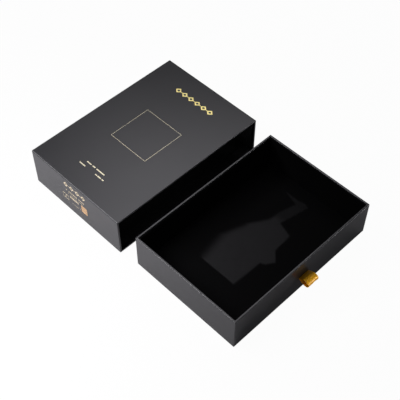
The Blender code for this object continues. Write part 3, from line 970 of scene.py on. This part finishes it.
class Recipe(Wiring):
    """A Geometry Nodes tree under construction, with named inputs."""

    def __init__(self, name, inputs):
        super().__init__(bpy.data.node_groups.new(name, "GeometryNodeTree"))
        sockets = self.tree.interface
        sockets.new_socket("Geometry", in_out="OUTPUT", socket_type="NodeSocketGeometry")
        self.identifiers = {}
        for key, kind in inputs.items():
            made = sockets.new_socket(key, in_out="INPUT", socket_type="NodeSocket" + kind)
            self.identifiers[key] = made.identifier
        given = self.tree.nodes.new("NodeGroupInput")
        self.given = {key: Signal(self, given.outputs[key]) for key in inputs}
        self.result = self.tree.nodes.new("NodeGroupOutput")

    def step(self, kind, settings=None, **inputs):
        """Add a geometry node, whose sockets are named with _ for a space."""
        inputs = {key.replace("_", " "): value for key, value in inputs.items()}
        return self.node("GeometryNode" + kind, settings, inputs)

    def join(self, one, other):
        """Two geometries as one."""
        both = self.step("JoinGeometry", Geometry=one)
        self.tree.links.new(other.socket, both.socket.node.inputs["Geometry"])
        return both

    def realise(self, values):
        """Run the tree once and return its result as a plain mesh."""
        holder = add_object("foil_marks", bpy.data.meshes.new("foil_marks"))
        modifier = holder.modifiers.new("Marks", "NODES")
        modifier.node_group = self.tree
        for key, value in values.items():
            modifier[self.identifiers[key]] = value
        depsgraph = bpy.context.evaluated_depsgraph_get()
        mesh = bpy.data.meshes.new_from_object(holder.evaluated_get(depsgraph), depsgraph=depsgraph)
        bpy.data.objects.remove(holder)
        return mesh


def mark_row_recipe():
    """A row of like marks: lozenges, dots, bars or frames, some left out at random."""
    recipe = Recipe("row_of_foil_marks", MARK_INPUTS)
    given = recipe.given
    step = recipe.step
    sides = given["Sides"]
    circle = step("CurvePrimitiveCircle", {"mode": "RADIUS"}, Resolution=sides, Radius=1.0)
    turned = step("Transform", Geometry=circle, Rotation=given["Turn"])
    sized = step("Transform", Geometry=turned, Scale=given["Size"])
    outer = step("FilletCurve", {"mode": "POLY"}, Curve=sized, Count=3, Radius=given["Rounding"])
    hollow = given["Hollow"]
    shrink = recipe.node("ShaderNodeCombineXYZ", None, {0: hollow, 1: hollow, 2: 1.0})
    inner = step("Transform", Geometry=outer, Scale=shrink)
    both = recipe.join(outer, inner)
    above = {"operation": "GREATER_THAN"}
    is_hollow = recipe.node("FunctionNodeCompare", above, {0: hollow, 1: 0.01})
    choice = {"Switch": is_hollow, "False": outer, "True": both}
    outlines = recipe.node("GeometryNodeSwitch", {"input_type": "GEOMETRY"}, choice)
    face = step("FillCurve", {"mode": "TRIANGLES"}, Curve=outlines)
    height = given["Thickness"]
    raised = step("ExtrudeMesh", {"mode": "FACES"}, Mesh=face, Offset_Scale=height, Individual=False)
    closed = recipe.join(raised, step("FlipFaces", Mesh=face))
    mark = step("MergeByDistance", Geometry=closed, Distance=0.0000001)

    count, pitch = given["Count"], given["Pitch"]
    offset = recipe.node("ShaderNodeCombineXYZ", None, {0: pitch})
    first = recipe.node("ShaderNodeCombineXYZ", None, {0: pitch * (count - 1) * -0.5})
    line = step("MeshLine", {"mode": "OFFSET"}, Count=count, Start_Location=first, Offset=offset)
    chance = {"Probability": given["Kept"], "Seed": given["Seed"]}
    chosen = recipe.node("FunctionNodeRandomValue", {"data_type": "BOOLEAN"}, chance, output=3)
    row = step("InstanceOnPoints", Points=line, Selection=chosen, Instance=mark)
    real = step("RealizeInstances", Geometry=row)
    gilded = step("SetMaterial", Geometry=real, Material=given["Material"])
    recipe.feed(recipe.result, {"Geometry": gilded})
    return recipe


def facing_matrix(along, up, origin):
    """The turn and place of a row that runs along one direction with its height along another."""
    along, up = Vector(along), Vector(up)
    turn = Matrix((along, up, along.cross(up))).transposed().to_4x4()
    return Matrix.Translation(origin) @ turn


# A row of marks on a face of the sleeve: where its middle is and what it holds
Row = namedtuple(
    "Row",
    "place count pitch size sides square hollow kept",
    defaults=(4, True, 0.0, 1.0),
)


def stamp(name, rows, material, at):
    """Stamp rows of foil marks on a face and make them one piece."""
    foil = sizes("foil")
    recipe = mark_row_recipe()
    shape = bmesh.new()
    for seed, row in enumerate(rows, FIRST_SEED):
        reach = math.sqrt(0.5) if row.square else 0.5
        solid_square = row.sides == 4 and not row.hollow
        mesh = recipe.realise({
            "Count": row.count,
            "Pitch": row.pitch,
            "Sides": row.sides,
            "Turn": (0.0, 0.0, math.pi / 4 if row.square else 0.0),
            "Size": (row.size[0] * reach, row.size[1] * reach, 1.0),
            "Hollow": row.hollow,
            "Rounding": ROUNDING_SHARE * min(row.size) if solid_square else FINE_ROUNDING,
            "Thickness": 2 * foil.thickness,
            "Kept": row.kept,
            "Seed": seed,
            "Material": material,
        })
        mesh.transform(at(*row.place))
        shape.from_mesh(mesh)
        bpy.data.meshes.remove(mesh)
    add_piece(name, shape, material, "sleeve")


def print_foil():
    """Gold marks on the sleeve's top and left end, in the photo's places."""
    foil = sizes("foil")
    top = SLEEVE_HIGH.z - foil.thickness
    end = SLEEVE_LOW.x + foil.thickness

    def on_top(x, y):
        return facing_matrix((0, -1, 0), (1, 0, 0), (x, y, top))

    def on_end(y, z):
        return facing_matrix((0, -1, 0), (0, 0, 1), (end, y, z))

    gold = metal_foil("gold_foil", foil.colour)
    pale_gold = metal_foil("pale_gold_foil", foil.pale_colour)
    side = foil.square
    outline = [Row((0.0008, -0.0003), 1, 0.0, (side, side), hollow=1 - 2 * foil.line / side)]
    stamp("foil_square", outline, pale_gold, on_top)

    heading = [
        Row((0.0795, -0.0002), 6, 0.0107, (0.0092, foil.lozenge), square=False, hollow=0.48),
        Row((0.0795, -0.0002), 5, 0.0107, (0.0013, 0.0013), sides=16, square=False),
    ]
    stamp("foil_heading", heading, gold, on_top)

    bar = foil.bar
    lines = [
        Row((-0.0750, 0.0131), 5, 0.00150, (0.00120, bar)),
        Row((-0.0750, 0.0049), 3, 0.00150, (0.00120, bar)),
        Row((-0.0750, -0.0063), 9, 0.00150, (0.00120, bar)),
        Row((-0.0815, 0.0175), 6, 0.00165, (0.00125, bar)),
        Row((-0.0811, -0.0060), 2, 0.00165, (0.00115, bar)),
        Row((-0.0811, -0.0112), 4, 0.00150, (0.00120, bar)),
        Row((-0.0811, -0.0171), 2, 0.00150, (0.00120, bar)),
    ]
    stamp("foil_lines", lines, pale_gold, on_top)

    panel = [
        Row((-0.0003, 0.0447), 4, 0.0100, (0.0078, 0.0076), square=False, hollow=0.46),
        Row((-0.0003, 0.0447), 3, 0.0100, (0.0012, 0.0012), sides=12, square=False),
        Row((0.0000, 0.0352), 13, 0.0025, (0.0017, 0.0019), kept=0.85),
        Row((-0.0010, 0.0312), 14, 0.0019, (0.0011, 0.0009), kept=0.8),
        Row((0.0022, 0.0266), 6, 0.0026, (0.0021, 0.0030)),
        Row((0.0180, 0.0213), 2, 0.0056, (0.0046, 0.0080), hollow=0.82),
        Row((-0.0005, 0.0172), 9, 0.0016, (0.0009, 0.0009), kept=0.8),
    ]
    stamp("foil_end_panel", panel, metal_foil("warm_gold_foil", foil.end_colour), on_end)

    block = [Row((-0.0149, z), 1, 0.0, (0.0104, 0.0034)) for z in (0.0268, 0.0228, 0.0188)]
    stamp("foil_end_block", block, metal_foil("red_gold_foil", foil.block_colour), on_end)


def dress_hidden_nodes():
    """Give the boards, tapes and plain papers their finishes."""
    finishes = {
        "grey_board": grey_board(),
        "stay_tape": gummed_tape(),
        "lining_paper": plain_paper(),
    }
    for part in frame["record"]["subparts"]:
        finish = finishes.get(part["material_slot"])
        if finish:
            materials = frame["nodes"][part["node"]].data.materials
            materials.clear()
            materials.append(finish)


def add_lamp(name, place, target, side, power, spread):
    """A square soft lamp that looks at a point. Its grid narrows the beam to a spread in degrees."""
    lamp = bpy.data.lights.new(name, "AREA")
    lamp.shape = "SQUARE"
    lamp.color = sizes("studio").lamp_tint
    lamp.size = side
    lamp.energy = power
    lamp.spread = math.radians(spread)
    made = add_object(name, lamp)
    made.location = place
    made.rotation_euler = (Vector(target) - Vector(place)).to_track_quat("-Z", "Y").to_euler()


def set_stage():
    """The floor, the soft lamps, the light from all round and the camera."""
    studio = sizes("studio")
    scene = bpy.context.scene
    shape = bmesh.new()
    bmesh.ops.create_grid(shape, x_segments=1, y_segments=1, size=FLOOR_REACH)
    bmesh.ops.translate(shape, verts=shape.verts[:], vec=(0, 0, -FLOOR_DROP))
    floor = add_piece("floor", shape, pale_floor())

    world = bpy.data.worlds.new("studio_light")
    scene.world = world
    world.use_nodes = True
    background = world.node_tree.nodes["Background"]
    background.inputs["Color"].default_value = (1, 1, 1, 1)
    backdrop = Wiring(world.node_tree)
    shown = white_share(backdrop) * (1 - studio.ambient)
    backdrop.feed(background, {"Strength": shown + studio.ambient})

    for lamp in LAMPS:
        add_lamp(*lamp)

    camera = bpy.data.cameras.new("photo_camera")
    camera.lens = studio.lens
    camera.sensor_width = 36.0
    camera.clip_start = 0.01
    eye = add_object("photo_camera", camera)
    eye.location = studio.camera_place
    eye.rotation_euler = Euler(studio.camera_turn)
    scene.camera = eye
    scene.view_settings.view_transform = "Standard"


class DressHiddenNodes(bpy.types.Operator):
    """Give the boards, tapes and plain papers their finishes"""

    bl_idname = "giftbox.dress_hidden_nodes"
    bl_label = "Boards and papers"

    def execute(self, context):
        dress_hidden_nodes()
        return {"FINISHED"}


class CoverSleeve(bpy.types.Operator):
    """Fold the covering paper round the sleeve"""

    bl_idname = "giftbox.cover_sleeve"
    bl_label = "Sleeve cover"

    def execute(self, context):
        cover_sleeve()
        return {"FINISHED"}


class CoverTray(bpy.types.Operator):
    """Fold the covering paper round the tray"""

    bl_idname = "giftbox.cover_tray"
    bl_label = "Tray cover"

    def execute(self, context):
        cover_tray()
        return {"FINISHED"}


class LineTray(bpy.types.Operator):
    """Line the tray's walls and floor with flocked card"""

    bl_idname = "giftbox.line_tray"
    bl_label = "Flock lining"

    def execute(self, context):
        line_walls()
        line_floor()
        return {"FINISHED"}


class MakeRibbon(bpy.types.Operator):
    """Thread the satin ribbon through its slot"""

    bl_idname = "giftbox.make_ribbon"
    bl_label = "Ribbon pull"

    def execute(self, context):
        make_ribbon()
        return {"FINISHED"}


class PrintFoil(bpy.types.Operator):
    """Stamp the gold marks on the sleeve"""

    bl_idname = "giftbox.print_foil"
    bl_label = "Gold foil"

    def execute(self, context):
        print_foil()
        return {"FINISHED"}


class SetStage(bpy.types.Operator):
    """Set up the floor, the lamps and the camera"""

    bl_idname = "giftbox.set_stage"
    bl_label = "Stage"

    def execute(self, context):
        set_stage()
        return {"FINISHED"}


GROUPS = {
    "paper": PaperSizes,
    "flock": FlockSizes,
    "ribbon": RibbonSizes,
    "foil": FoilSizes,
    "studio": StudioSizes,
}
STEPS = (DressHiddenNodes, CoverSleeve, CoverTray, LineTray, MakeRibbon, PrintFoil, SetStage)


class GiftBoxPanel(bpy.types.Panel):
    """The gift box's steps and settings"""

    bl_idname = "VIEW3D_PT_gift_box"
    bl_label = "Gift box"
    bl_space_type = "VIEW_3D"
    bl_region_type = "UI"
    bl_category = "Gift box"

    def draw(self, context):
        for step in STEPS:
            self.layout.operator(step.bl_idname)
        for name in GROUPS:
            box = self.layout.box()
            box.label(text=name.capitalize())
            settings = sizes(name)
            for key in settings.__annotations__:
                box.prop(settings, key)


def register():
    for group in GROUPS.values():
        bpy.utils.register_class(group)
    for name, group in GROUPS.items():
        setattr(bpy.types.Scene, "giftbox_" + name, bpy.props.PointerProperty(type=group))
    for step in STEPS:
        bpy.utils.register_class(step)
    bpy.utils.register_class(GiftBoxPanel)


def unregister():
    bpy.utils.unregister_class(GiftBoxPanel)
    for step in reversed(STEPS):
        bpy.utils.unregister_class(step)
    for name, group in GROUPS.items():
        delattr(bpy.types.Scene, "giftbox_" + name)
        bpy.utils.unregister_class(group)


def main():
    """Make every piece."""
    register()
    bpy.ops.giftbox.dress_hidden_nodes()
    bpy.ops.giftbox.cover_sleeve()
    bpy.ops.giftbox.cover_tray()
    bpy.ops.giftbox.line_tray()
    bpy.ops.giftbox.make_ribbon()
    bpy.ops.giftbox.print_foil()
    bpy.ops.giftbox.set_stage()


if __name__ == "__main__":
    main()
